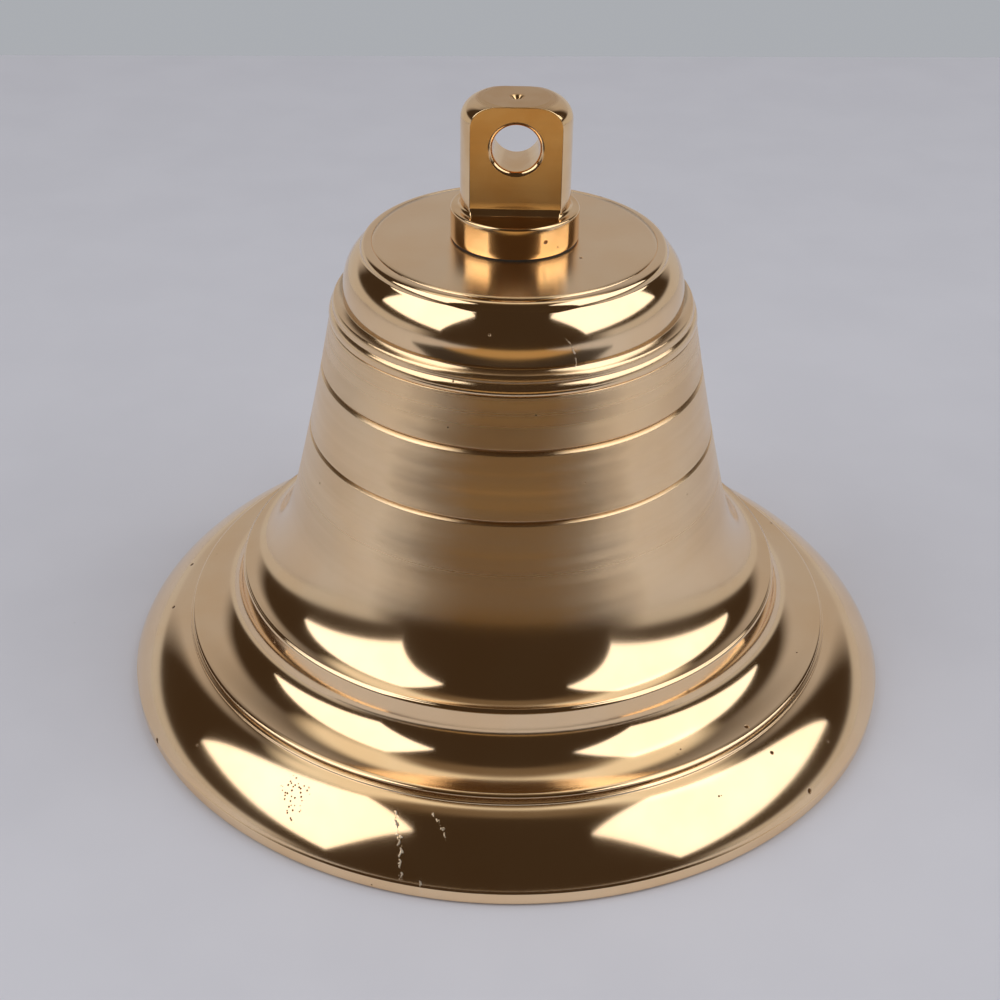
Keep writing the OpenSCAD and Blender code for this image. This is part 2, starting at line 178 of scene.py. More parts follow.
def outside_outline():
    disc_edge = (DISC_R, CROWN_Z - DOME_FALL)
    dome_turn = math.degrees(2 * math.atan2(DOME_FALL, DISC_R - SEAT_R))
    bead_top = (DISC_R + 0.3, CROWN_Z - DOME_FALL - 0.05)
    step_out = (STEP_R - 0.8, SHOULDER_FOOT[1])
    step_foot = (STEP_R, SHOULDER_FOOT[1] - 2.8)
    cove_top = (CREST1[0] + BAND_LEAN, CREST1[1] - BAND_H)
    cove_foot = (CREST2[0] - 0.9, CREST2[1])
    path = [(STUD_HOLE_R, CROWN_Z, 0), (SEAT_R - 1, CROWN_Z, 0)]
    path += plain(arc((SEAT_R, CROWN_Z), disc_edge, -dome_turn, 14))
    path += [(DISC_R + 0.1, disc_edge[1] - QUIRK, 0.12)]
    path += plain(curve(
        bead_top, (bead_top[0] + 2.3, bead_top[1]),
        (SHOULDER_TOP[0] - 0.5, SHOULDER_TOP[1] + 2.3), SHOULDER_TOP, 24))
    slope = math.radians(SHOULDER_SLOPE)
    leaves_top = (
        SHOULDER_TOP[0] + SHOULDER_REACH * math.sin(slope),
        SHOULDER_TOP[1] - SHOULDER_REACH * math.cos(slope))
    meets_foot = (SHOULDER_FOOT[0], SHOULDER_FOOT[1] + 8)
    path += plain(curve(SHOULDER_TOP, leaves_top, meets_foot, SHOULDER_FOOT, 28)[1:])
    path += plain(arc(step_out, step_foot, -60, 8))
    path += plain(arc(
        (step_foot[0] + 0.1, step_foot[1] - 0.3), (WAIST_TOP[0] + 0.1, WAIST_TOP[1] + 0.4), -70, 12))
    path += [(WAIST_TOP[0] - QUIRK, WAIST_TOP[1] + 0.2, 0.1), (WAIST_TOP[0], WAIST_TOP[1], 0.15)]
    path += waist_path()
    path += plain(curve(
        WAIST_LOW, (WAIST_LOW[0] + 3.8, WAIST_LOW[1] - 14.5),
        (CREST1[0] - 11, CREST1[1] + 1.5), (CREST1[0] - 0.8, CREST1[1]), 44))
    for i in range(9):
        angle = math.radians(60 - 60 * i / 8)
        path.append((CREST1[0] - CREST_ROUND + CREST_ROUND * math.cos(angle),
                     CREST1[1] - CREST_ROUND + CREST_ROUND * math.sin(angle), 0))
    for t in (0.2, 0.5, 0.8):
        path.append((CREST1[0] + BAND_LEAN * t, CREST1[1] - CREST_ROUND - (BAND_H - CREST_ROUND) * t, 0))
    for i in range(31):
        angle = math.radians(90 * i / 30)
        path.append((cove_foot[0] - (cove_foot[0] - cove_top[0]) * math.cos(angle),
                     cove_top[1] - (cove_top[1] - cove_foot[1]) * math.sin(angle), 0))
    z = CREST2[1]
    path += [
        (CREST2[0], z - 0.6, 0.3), (CREST2[0], z - 2.1, 0.15), (CREST2[0] - QUIRK, z - 2.4, 0.1),
        (CREST2[0] + 0.9, z - 2.8, 0.25), (CREST2[0] + 1, z - 3.4, 0.15), (LIP[0] - QUIRK, LIP[1] + 0.1, 0.1)]
    path += plain(curve(
        LIP, (LIP[0] + 8, LIP[1] - 1.7), (RIM_R - 2.7, RIM_H + 6.6), (RIM_R - 0.4, RIM_H), 48))
    path += [(RIM_R, RIM_H - 0.6, 0.3)]
    for i in range(9):
        angle = math.radians(-90 * i / 8)
        path.append((
            RIM_R - RIM_ROUND + RIM_ROUND * math.cos(angle), RIM_ROUND + RIM_ROUND * math.sin(angle), 0))
    return softened(path)


def inside_outline():
    foot_r = RIM_R - RIM_ROUND - FOOT_W
    low = (foot_r - 3.5, 2.2)
    waist_low = (WAIST_LOW[0] - 6.4, WAIST_LOW[1])
    waist_top = (WAIST_TOP[0] - 7.2, WAIST_TOP[1] - 3)
    neck = (SHOULDER_FOOT[0] - 6.8, SHOULDER_FOOT[1] + 2)
    path = [(foot_r, 0, 0.4)]
    path += plain(curve(
        low, (low[0] - 21.5, low[1] + 18.5), (waist_low[0] + 6.3, waist_low[1] - 32), waist_low, 40))
    steps = 22
    for i in range(1, steps + 1):
        t = i / steps
        path.append((
            waist_low[0] + (waist_top[0] - waist_low[0]) * t,
            waist_low[1] + (waist_top[1] - waist_low[1]) * t, 0))
    path += plain(arc(neck, (42, INNER_CROWN_Z), 58, 16))
    path += [(30, INNER_CROWN_Z, 0), (20, INNER_CROWN_Z, 0), (STUD_HOLE_R + 0.4, INNER_CROWN_Z, 0),
             (STUD_HOLE_R, INNER_CROWN_Z + 0.4, 0), (STUD_HOLE_R, (INNER_CROWN_Z + CROWN_Z) / 2, 0)]
    return softened(path)


# ---------------------------------------------------------------- turning, as a node tree
def turning_tree():
    """Turns an outline drawn in the XZ plane about the Z axis"""
    tree = bpy.data.node_groups.new("turn an outline", "GeometryNodeTree")
    face = tree.interface
    face.new_socket("Outline", in_out="INPUT", socket_type="NodeSocketGeometry")
    face.new_socket("Segments", in_out="INPUT", socket_type="NodeSocketInt")
    face.new_socket("Outside Points", in_out="INPUT", socket_type="NodeSocketInt")
    face.new_socket("Merge Distance", in_out="INPUT", socket_type="NodeSocketFloat")
    face.new_socket("Outside Finish", in_out="INPUT", socket_type="NodeSocketMaterial")
    face.new_socket("Inside Finish", in_out="INPUT", socket_type="NodeSocketMaterial")
    face.new_socket("Turned", in_out="OUTPUT", socket_type="NodeSocketGeometry")
    new, link = tree.nodes.new, tree.links.new
    given = new("NodeGroupInput")
    made = new("NodeGroupOutput")

    # Mark the outside part of the outline by its point order
    index = new("GeometryNodeInputIndex")
    is_out = new("FunctionNodeCompare")
    is_out.data_type = "INT"
    is_out.operation = "LESS_THAN"
    link(index.outputs[0], is_out.inputs["A"])
    link(given.outputs["Outside Points"], is_out.inputs["B"])
    store = new("GeometryNodeStoreNamedAttribute")
    store.data_type = "FLOAT"
    store.domain = "POINT"
    store.inputs["Name"].default_value = "outside"
    link(given.outputs["Outline"], store.inputs["Geometry"])
    link(is_out.outputs["Result"], store.inputs["Value"])

    # One copy of the outline for each angle, then the grid of faces between neighbours
    to_curve = new("GeometryNodeMeshToCurve")
    link(store.outputs[0], to_curve.inputs[0])
    ring = new("GeometryNodeCurvePrimitiveCircle")
    ring.mode = "RADIUS"
    ring.inputs["Radius"].default_value = 1.0
    link(given.outputs["Segments"], ring.inputs["Resolution"])
    sweep = new("GeometryNodeCurveToMesh")
    link(ring.outputs["Curve"], sweep.inputs["Curve"])
    link(to_curve.outputs[0], sweep.inputs["Profile Curve"])
    weld = new("GeometryNodeMergeByDistance")
    link(sweep.outputs[0], weld.inputs["Geometry"])
    link(given.outputs["Merge Distance"], weld.inputs["Distance"])
    smooth = new("GeometryNodeSetShadeSmooth")
    link(weld.outputs[0], smooth.inputs["Geometry"])
    outer = new("GeometryNodeSetMaterial")
    link(smooth.outputs[0], outer.inputs["Geometry"])
    link(given.outputs["Outside Finish"], outer.inputs["Material"])
    read = new("GeometryNodeInputNamedAttribute")
    read.data_type = "FLOAT"
    read.inputs["Name"].default_value = "outside"
    is_in = new("FunctionNodeCompare")
    is_in.data_type = "FLOAT"
    is_in.operation = "LESS_THAN"
    link(read.outputs[0], is_in.inputs["A"])
    is_in.inputs["B"].default_value = 0.5
    inner = new("GeometryNodeSetMaterial")
    link(outer.outputs[0], inner.inputs["Geometry"])
    link(is_in.outputs["Result"], inner.inputs["Selection"])
    link(given.outputs["Inside Finish"], inner.inputs["Material"])
    real = new("GeometryNodeRealizeInstances")
    link(inner.outputs[0], real.inputs[0])
    link(real.outputs[0], made.inputs[0])
    return tree


TURNING = turning_tree()


def to_piece(name, mesh):
    piece = bpy.data.objects.new(name, mesh)
    scene.collection.objects.link(piece)
    return piece


def turned_piece(name, outline, closed, segments, outside_points, outside, inside):
    """Solid of revolution about Z from (r, z) points in millimetres"""
    mesh = bpy.data.meshes.new(name + " outline")
    # The sweep runs round a circle of radius 1 m, so the outline is drawn from there
    verts = [(r * MM - 1.0, -z * MM, 0) for r, z in outline]
    edges = [(i, i + 1) for i in range(len(verts) - 1)]
    if closed:
        edges.append((len(verts) - 1, 0))
    mesh.from_pydata(verts, edges, [])
    drawing = to_piece(name + " drawing", mesh)
    turn = drawing.modifiers.new("turn", "NODES")
    turn.node_group = TURNING
    values = {
        "Segments": segments, "Outside Points": outside_points, "Merge Distance": 1e-6,
        "Outside Finish": outside, "Inside Finish": inside}
    for item in TURNING.interface.items_tree:
        if item.in_out == "INPUT" and item.name in values:
            turn[item.identifier] = values[item.name]
    bpy.context.view_layer.update()
    seen = drawing.evaluated_get(bpy.context.evaluated_depsgraph_get())
    result = bpy.data.meshes.new_from_object(seen, preserve_all_data_layers=True,
                                             depsgraph=bpy.context.evaluated_depsgraph_get())
    bpy.data.objects.remove(drawing)
    result.name = name
    return to_piece(name, result)


# ---------------------------------------------------------------- finishes
class Finish:
    """A procedural material, with short calls for the nodes it is made of"""

    def __init__(self, name):
        self.material = bpy.data.materials.new(name)
        self.material.use_nodes = True
        self.nodes = self.material.node_tree.nodes
        self.links = self.material.node_tree.links
        self.shader = self.nodes["Principled BSDF"]
        self.place = self.nodes.new("ShaderNodeTexCoord").outputs["Object"]
        split = self.nodes.new("ShaderNodeSeparateXYZ")
        self.links.new(self.place, split.inputs[0])
        self.x, self.y, self.z = split.outputs
        squares = self.math("ADD", self.math("POWER", self.x, 2.0), self.math("POWER", self.y, 2.0))
        self.r = self.math("SQRT", squares)

    def feed(self, value, socket):
        if isinstance(value, bpy.types.NodeSocket):
            self.links.new(value, socket)
        else:
            socket.default_value = value

    def math(self, operation, a, b=0.0):
        node = self.nodes.new("ShaderNodeMath")
        node.operation = operation
        self.feed(a, node.inputs[0])
        self.feed(b, node.inputs[1])
        return node.outputs[0]

    def vector(self, x, y, z):
        node = self.nodes.new("ShaderNodeCombineXYZ")
        for value, socket in zip((x, y, z), node.inputs):
            self.feed(value, socket)
        return node.outputs[0]

    def noise(self, where, size_mm, detail=2.0):
        """Noise with features of about the given size in millimetres, centred on 0.5"""
        node = self.nodes.new("ShaderNodeTexNoise")
        node.inputs["Scale"].default_value = 1000.0 / size_mm
        node.inputs["Detail"].default_value = detail
        self.links.new(where, node.inputs["Vector"])
        return node.outputs["Fac"]

    def span(self, value, low, high, a=0.0, b=1.0):
        """Smooth step from a at low to b at high"""
        node = self.nodes.new("ShaderNodeMapRange")
        node.interpolation_type = "SMOOTHSTEP"
        for k, item in enumerate((value, low, high, a, b)):
            self.feed(item, node.inputs[k])
        return node.outputs[0]

    def between(self, value, low, high, soft):
        """1 from low to high, with edges of the given softness"""
        up = self.span(value, low - soft, low + soft)
        down = self.span(value, high - soft, high + soft, 1.0, 0.0)
        return self.math("MULTIPLY", up, down)

    def mix(self, amount, a, b):
        node = self.nodes.new("ShaderNodeMix")
        node.data_type = "RGBA"
        self.feed(amount, node.inputs[0])
        self.feed(a, node.inputs[6])
        self.feed(b, node.inputs[7])
        return node.outputs[2]

    def blend(self, amount, a, b):
        node = self.nodes.new("ShaderNodeMix")
        self.feed(amount, node.inputs[0])
        self.feed(a, node.inputs[2])
        self.feed(b, node.inputs[3])
        return node.outputs[0]

    def pits(self, cell_mm, radius_mm):
        """Small casting pits, where the middle of a cell happens to lie in the surface"""
        node = self.nodes.new("ShaderNodeTexVoronoi")
        node.inputs["Scale"].default_value = 1000.0 / cell_mm
        self.links.new(self.place, node.inputs["Vector"])
        edge = radius_mm / cell_mm
        return self.span(node.outputs["Distance"], edge * 0.6, edge, 1.0, 0.0)

    def near(self, angle_deg, r_mm, z_mm, reach_mm):
        """1 at a point on the surface, fading to 0 at the given distance; angle 0 is the front"""
        angle = math.radians(angle_deg)
        spot = (r_mm * MM * math.sin(angle), -r_mm * MM * math.cos(angle), z_mm * MM)
        node = self.nodes.new("ShaderNodeVectorMath")
        node.operation = "DISTANCE"
        self.links.new(self.place, node.inputs[0])
        node.inputs[1].default_value = spot
        return self.span(node.outputs["Value"], reach_mm * MM * 0.5, reach_mm * MM, 1.0, 0.0)

    def scratch(self, angle_deg, lean_deg, r_low, r_high, width_mm):
        """A ragged mark running outward between two radii in millimetres, leaning round as it goes"""
        middle = (r_low + r_high) / 2
        along = self.math("DIVIDE", self.math("SUBTRACT", self.r, middle * MM), (r_high - r_low) * MM)
        wobble = self.math("SUBTRACT", self.noise(self.place, 2.2), 0.5)
        wobble = self.math("MULTIPLY", wobble, math.radians(2.4))
        target = self.math("MULTIPLY", along, math.radians(lean_deg))
        target = self.math("ADD", target, math.radians(angle_deg))
        turn = self.math("ARCTAN2", self.x, self.math("MULTIPLY", self.y, -1.0))
        aside = self.math("ABSOLUTE", self.math("SUBTRACT", self.math("SUBTRACT", turn, target), wobble))
        half = width_mm / middle / 2
        line = self.span(aside, half * 0.4, half, 1.0, 0.0)
        line = self.math("MULTIPLY", line, self.between(self.r, r_low * MM, r_high * MM, 0.0006))
        return self.math("MULTIPLY", line, self.span(self.noise(self.place, 1.6), 0.36, 0.56))

    def any_of(self, masks):
        total = masks[0]
        for mask in masks[1:]:
            total = self.math("MAXIMUM", total, mask)
        return total

    def bump(self, height, distance, normal=None):
        node = self.nodes.new("ShaderNodeBump")
        node.inputs["Distance"].default_value = distance
        self.links.new(height, node.inputs["Height"])
        if normal is not None:
            self.links.new(normal, node.inputs["Normal"])
        return node.outputs[0]

    def done(self, colour, roughness, normal=None, metallic=1.0):
        self.feed(colour, self.shader.inputs["Base Color"])
        self.feed(roughness, self.shader.inputs["Roughness"])
        self.feed(metallic, self.shader.inputs["Metallic"])
        if normal is not None:
            self.links.new(normal, self.shader.inputs["Normal"])
        return self.material


BRASS_WARM = (0.97, 0.69, 0.41, 1)
BRASS_PALE = (1.0, 0.75, 0.48, 1)
BRASS_TARNISH = (0.52, 0.30, 0.12, 1)
BRASS_DEEP = (0.20, 0.10, 0.04, 1)
SCRATCH_WHITE = (1.0, 0.90, 0.76, 1)

# Heights, in metres, of the parts with a finish of their own
WAIST_FADE = (0.0625, 0.0815)
WAIST_END = (0.1510, 0.1516)
LEDGE = (0.1545, 0.1590)
CROWN_START = (0.1785, 0.1793)
CROWN_EDGE_R = (0.0509, 0.0513)
TARNISHED_GROOVES = ((0.13145, 0.13255), (0.10645, 0.10735))
SATIN_ROUGHNESS, BRIGHT_ROUGHNESS = 0.25, 0.065

# Wear, as (angle from the front in degrees, radius, height, reach) or, for scratches,
# (angle, lean, inner radius, outer radius, width)
PIT_CLUSTERS = (
    (-32.2, 137.8, 19.9, 7), (-31.0, 143.0, 15.5, 4), (33.8, 137.7, 20.0, 3), (32, 118.1, 28.9, 3))
SINGLE_PITS = (
    (46.2, 134.1, 22.0, 0.9), (-98.5, 133.6, 22.3, 1.0), (-85.8, 135.0, 21.6, 1.0), (-60.8, 150.0, 4.8, 1.4),
    (52.0, 29.6, 180.8, 0.7), (-7.3, 60.0, 170.8, 0.6), (48.5, 148.1, 8.8, 1.3), (45.5, 122.9, 28.1, 1.1))
SCRATCHES = (
    (-15.4, 1.4, 133.5, 140.0, 0.9), (-14.0, 1.6, 139.0, 149.2, 1.0), (-9.6, 2.0, 131.5, 136.5, 0.9),
    (-8.4, 1.2, 135.5, 139.5, 0.8), (-10.6, 0.3, 148.2, 149.8, 0.9), (18.8, 3.0, 61.0, 62.2, 0.5))


def lathe_rings(f):
    """Coordinates that are the same all round the axis"""
    return f.vector(f.r, f.z, 0.0)


def bell_finish():
    """Bright mouldings, and a satin waist, ledge and crown left from the lathe"""
    f = Finish("bell brass, polished and turned")
    rings = lathe_rings(f)
    waist = f.math("MULTIPLY", f.span(f.z, *WAIST_FADE), f.span(f.z, *WAIST_END, 1.0, 0.0))
    ledge = f.between(f.z, *LEDGE, 0.0004)
    crown = f.math("MULTIPLY", f.span(f.z, *CROWN_START), f.span(f.r, *CROWN_EDGE_R, 1.0, 0.0))
    satin = f.math("MAXIMUM", waist, f.math("MULTIPLY", ledge, 0.6))

    fine = f.noise(rings, 0.7)
    mid = f.noise(rings, 3.0)
    wide = f.noise(rings, 11.0, 1.0)
    cloud = f.noise(f.place, 35, 3.0)

    # Colour: slow warm and pale clouds, tarnish in the two grooves and in the pits
    colour = f.mix(f.span(cloud, 0.3, 0.7), BRASS_WARM, BRASS_PALE)
    grooves = f.any_of([f.between(f.z, *zone, 0.0003) for zone in TARNISHED_GROOVES])
    colour = f.mix(f.math("MULTIPLY", grooves, 0.75), colour, BRASS_TARNISH)
    clusters = f.math("MULTIPLY", f.pits(1.5, 0.42), f.any_of([f.near(*spot) for spot in PIT_CLUSTERS]))
    pits = f.any_of([f.pits(15, 0.45), clusters] + [f.near(*spot) for spot in SINGLE_PITS])
    colour = f.mix(pits, colour, BRASS_DEEP)
    scratches = f.any_of([f.scratch(*mark) for mark in SCRATCHES])
    colour = f.mix(scratches, colour, SCRATCH_WHITE)

    satin_rough = f.math("ADD", SATIN_ROUGHNESS, f.math("MULTIPLY", f.math("SUBTRACT", wide, 0.5), 0.20))
    satin_rough = f.math("ADD", satin_rough, f.math("MULTIPLY", f.math("SUBTRACT", mid, 0.5), 0.16))
    bright_rough = f.math("ADD", BRIGHT_ROUGHNESS, f.math("MULTIPLY", cloud, 0.05))
    bright_rough = f.math("ADD", bright_rough, f.math("MULTIPLY", crown, 0.10))
    roughness = f.blend(satin, bright_rough, satin_rough)
    roughness = f.math("MAXIMUM", roughness, f.math("MULTIPLY", pits, 0.7))
    roughness = f.math("MAXIMUM", roughness, f.math("MULTIPLY", scratches, 0.75))

    # Each turned ring leans a little to one side, which breaks up the edges of a reflection
    lean = f.math("MULTIPLY", f.math("SUBTRACT", f.noise(rings, 5.5, 1.0), 0.5), 0.20)
    lean = f.math("MULTIPLY", lean, satin)
    scale_x = f.math("MULTIPLY", f.math("DIVIDE", f.y, f.r), f.math("MULTIPLY", lean, -1.0))
    scale_y = f.math("MULTIPLY", f.math("DIVIDE", f.x, f.r), lean)
    add = f.nodes.new("ShaderNodeVectorMath")
    f.links.new(f.nodes.new("ShaderNodeNewGeometry").outputs["Normal"], add.inputs[0])
    f.links.new(f.vector(scale_x, scale_y, 0.0), add.inputs[1])
    unit = f.nodes.new("ShaderNodeVectorMath")
    unit.operation = "NORMALIZE"
    f.links.new(add.outputs[0], unit.inputs[0])

    # Height: rings on the satin parts, a slow ripple on the bright ones, and the pits
    height = f.math("ADD", f.math("MULTIPLY", fine, 0.0016), f.math("MULTIPLY", mid, 0.014))
    height = f.math("ADD", height, f.math("MULTIPLY", wide, 0.10))
    height = f.math("MULTIPLY", height, f.math("MAXIMUM", satin, f.math("MULTIPLY", crown, 0.15)))
    height = f.math("ADD", height, f.math("MULTIPLY", fine, 0.0007))
    ripple = f.math("MULTIPLY", f.noise(f.place, 22, 1.0), 0.012)
    height = f.math("ADD", height, ripple)
    height = f.math("SUBTRACT", height, f.math("MULTIPLY", pits, 0.15))
    height = f.math("ADD", height, f.math("MULTIPLY", scratches, 0.04))
    normal = f.bump(height, MM, unit.outputs[0])
    f.shader.inputs["Anisotropic"].default_value = 0.95
    f.shader.inputs["Anisotropic Rotation"].default_value = 0.25
    tangent = f.nodes.new("ShaderNodeTangent")
    tangent.direction_type = "RADIAL"
    tangent.axis = "Z"
    f.links.new(tangent.outputs[0], f.shader.inputs["Tangent"])
    return f.done(colour, roughness, normal)


def inside_finish():
    """Rough-turned brass inside the bell, duller and browner than the outside"""
    f = Finish("inside brass, rough turned")
    rings = lathe_rings(f)
    fine = f.noise(rings, 1.2)
    stain = f.noise(f.place, 28, 4.0)
    colour = f.mix(f.span(stain, 0.35, 0.7), (0.72, 0.47, 0.23, 1), (0.50, 0.31, 0.14, 1))
    roughness = f.math("ADD", 0.34, f.math("MULTIPLY", fine, 0.2))
    height = f.math("ADD", f.math("MULTIPLY", fine, 0.03), f.math("MULTIPLY", f.noise(f.place, 4), 0.02))
    return f.done(colour, roughness, f.bump(height, MM))


def lug_finish():
    """Lug: milled flats with fine level lines, turned sides and a polished boss"""
    f = Finish("lug brass, milled and turned")
    level = f.vector(f.math("MULTIPLY", f.x, 0.03), f.math("MULTIPLY", f.y, 0.03), f.z)
    fine = f.noise(level, 0.5)
    mid = f.noise(level, 2.2)
    flat = f.math("MULTIPLY", f.span(f.math("ABSOLUTE", f.y), 0.0109, 0.0111), f.span(f.z, 0.1945, 0.1965))
    flat = f.math("MULTIPLY", flat, f.span(f.r, 0.0205, 0.0201, 0.0, 1.0))
    top = f.span(f.z, 0.2316, 0.2320)
    satin = f.math("MAXIMUM", flat, top)
    cloud = f.noise(f.place, 12, 3.0)
    colour = f.mix(f.span(cloud, 0.3, 0.7), (0.93, 0.62, 0.32, 1), (1.0, 0.72, 0.42, 1))
    pits = f.any_of([f.pits(9, 0.35), f.near(28.0, 23.0, 187.5, 0.9)])
    colour = f.mix(pits, colour, BRASS_DEEP)
    colour = f.mix(f.math("MULTIPLY", top, 0.4), colour, BRASS_TARNISH)
    satin_rough = f.math("ADD", 0.14, f.math("MULTIPLY", mid, 0.08))
    satin_rough = f.math("ADD", satin_rough, f.math("MULTIPLY", top, 0.15))
    bright_rough = f.math("ADD", 0.08, f.math("MULTIPLY", mid, 0.06))
    roughness = f.blend(satin, bright_rough, satin_rough)
    height = f.math("ADD", f.math("MULTIPLY", fine, 0.0018), f.math("MULTIPLY", mid, 0.003))
    height = f.math("SUBTRACT", height, f.math("MULTIPLY", pits, 0.12))
    return f.done(colour, roughness, f.bump(height, MM))


def machined(name, pale, dark, roughness, line_mm=0.8, metallic=1.0, depth=0.006):
    """Small machined parts: fine lines, a little staining"""
    f = Finish(name)
    lines = f.noise(f.vector(f.math("MULTIPLY", f.x, 0.1), f.y, f.z), line_mm)
    stain = f.noise(f.place, 9, 4.0)
    colour = f.mix(f.span(stain, 0.4, 0.75), pale, dark)
    rough = f.math("ADD", roughness, f.math("MULTIPLY", f.math("SUBTRACT", lines, 0.5), 0.2))
    height = f.math("ADD", lines, f.math("MULTIPLY", stain, 0.5))
    return f.done(colour, rough, f.bump(height, depth * MM), metallic)


BELL = bell_finish()
INSIDE = inside_finish()
LUG = lug_finish()
MACHINED_BRASS = machined("machined brass", (0.90, 0.63, 0.33, 1), (0.62, 0.38, 0.17, 1), 0.28)
CLAPPER_BRASS = machined(
    "clapper brass, turned", (0.95, 0.67, 0.36, 1), (0.70, 0.45, 0.21, 1), 0.20, 1.6, depth=0.003)
STEEL = machined("plated steel", (0.62, 0.61, 0.58, 1), (0.42, 0.41, 0.38, 1), 0.30)
BRONZE = machined("bearing bronze", (0.78, 0.47, 0.25, 1), (0.50, 0.28, 0.13, 1), 0.32)
FIBRE = machined("gasket fibre", (0.035, 0.030, 0.026, 1), (0.015, 0.012, 0.010, 1), 0.75, 0.4, 0.0, 0.03)


# ---------------------------------------------------------------- bell shell
outside = outside_outline()
inside = inside_outline()
bell = turned_piece("bell_shell_smooth", outside + inside, True, 200, len(outside), BELL, INSIDE)
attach(bell, "bell")
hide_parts("bell_shell")


# ---------------------------------------------------------------- hanging lug
QUARTER_ARC, QUARTER_CORNER, QUARTER_FLAT = 14, 5, 10
EDGE_SOFTENING = 0.3
BOSS_EDGE = 0.9
FOOT_FILLET = 3
FOOT_SWELL = 1.2
THREAD_PITCH, THREAD_DEPTH = 2.0, 1.1


def section(radius, half):
    """A circle cut by two flats, with the four corners rounded, as points in order round it"""
    half = min(half, radius * 0.999)
    corner_x = math.sqrt(radius * radius - half * half)
    turn = math.asin(half / radius)
    quarter = []
    start = turn - EDGE_SOFTENING / radius
    for i in range(QUARTER_ARC):
        angle = start * i / (QUARTER_ARC - 1)
        quarter.append((radius * math.cos(angle), radius * math.sin(angle)))
    a = Vector(quarter[-1])
    corner = Vector((corner_x, half))
    b = Vector((max(corner_x - EDGE_SOFTENING, 0.2), half))
    for i in range(1, QUARTER_CORNER):
        t = i / QUARTER_CORNER
        point = a * (1 - t) ** 2 + corner * 2 * t * (1 - t) + b * t * t
        quarter.append((point.x, point.y))
    for i in range(QUARTER_FLAT):
        quarter.append((b.x * (1 - i / QUARTER_FLAT), half))
    back = quarter[:0:-1]
    ring = quarter + [(0, half)] + [(-x, y) for x, y in back]
    ring += [(-x, -y) for x, y in quarter] + [(0, -half)] + [(x, -y) for x, y in back]
    return ring


def lug_rings():
    """Rings of the lug from the foot of the stud to the top, as (points, height)"""
    guide = section(LUG_R, LUG_HALF)
    angles = [math.atan2(y, x) for x, y in guide]

    def round_ring(radius):
        return [(radius * math.cos(a), radius * math.sin(a)) for a in angles]

    rings = []
    rings.append((round_ring(STUD_R - 1.4), STUD_END))
    z = STUD_END + 1
    while z < BOSS_Z - 0.3:
        points = []
        for a in angles:
            phase = ((z / THREAD_PITCH) - a / (2 * math.pi)) % 1.0
            cut = THREAD_DEPTH * min(1.0, 2.2 * abs(phase - 0.5))
            if z > BOSS_Z - 3:
                cut = 0.6
            points.append(((STUD_R - cut) * math.cos(a), (STUD_R - cut) * math.sin(a)))
        rings.append((points, z))
        z += THREAD_PITCH / 8
    rings.append((round_ring(STUD_R), BOSS_Z))
    rings.append((round_ring(14), BOSS_Z))
    rings.append((round_ring(BOSS_R - 0.6), BOSS_Z))
    rings.append((round_ring(BOSS_R - 0.15), BOSS_Z + 0.12))
    rings.append((round_ring(BOSS_R), BOSS_Z + 0.5))
    for i in range(1, 6):
        rings.append((round_ring(BOSS_R), BOSS_Z + 0.5 + (LUG_Z - BOSS_EDGE - BOSS_Z - 0.5) * i / 6))
    for i in range(9):
        t = math.radians(90 * i / 8)
        rings.append((
            round_ring(BOSS_R - BOSS_EDGE + BOSS_EDGE * math.cos(t)),
            LUG_Z - BOSS_EDGE + BOSS_EDGE * math.sin(t)))
    for reach in (0.7, 0.35):
        swell = section(LUG_R + FOOT_SWELL, LUG_HALF + FOOT_FILLET)
        outer = round_ring(BOSS_R - BOSS_EDGE)
        rings.append(([(a[0] * reach + b[0] * (1 - reach), a[1] * reach + b[1] * (1 - reach))
                       for a, b in zip(outer, swell)], LUG_Z))
    for i in range(11):
        t = math.radians(90 * i / 10)
        half = LUG_HALF + FOOT_FILLET - FOOT_FILLET * math.sin(t)
        height = LUG_Z + FOOT_FILLET - FOOT_FILLET * math.cos(t)
        turned = LUG_R + FOOT_SWELL - FOOT_SWELL * min(1, (height - LUG_Z) / FOOT_SWELL) ** 0.5
        rings.append((section(turned, half), height))
    straight = LUG_TOP - LUG_ROUND
    for i in range(1, 14):
        height = LUG_Z + FOOT_FILLET + (straight - LUG_Z - FOOT_FILLET) * i / 13
        rings.append((section(LUG_R, LUG_HALF), height))
    for i in range(1, 19):
        t = math.radians(90 * i / 18 * 0.95)
        radius = LUG_R - LUG_ROUND + LUG_ROUND * math.cos(t)
        rings.append((section(radius, LUG_HALF), straight + (LUG_ROUND - 0.1) * math.sin(t)))
    for i in range(1, 6):
        t = math.radians(90 * i / 5)
        radius = LUG_R - LUG_ROUND + 0.2 - 0.3 * math.sin(t)
        half = LUG_HALF - EDGE_SOFTENING * (1 - math.cos(t))
        rings.append((section(radius, half), LUG_TOP - 0.12 * (1 - math.sin(t))))
    last = rings[-1][0]
    for scale in (0.97, 0.85, 0.7, 0.5, 0.3):
        rings.append(([(x * scale, y * scale) for x, y in last], LUG_TOP))
    for radius, drop in ((2.8, 0), (2.6, 0.06), (1.5, 1.05), (0.4, 1.75)):
        rings.append((round_ring(radius), LUG_TOP - drop))
    return rings


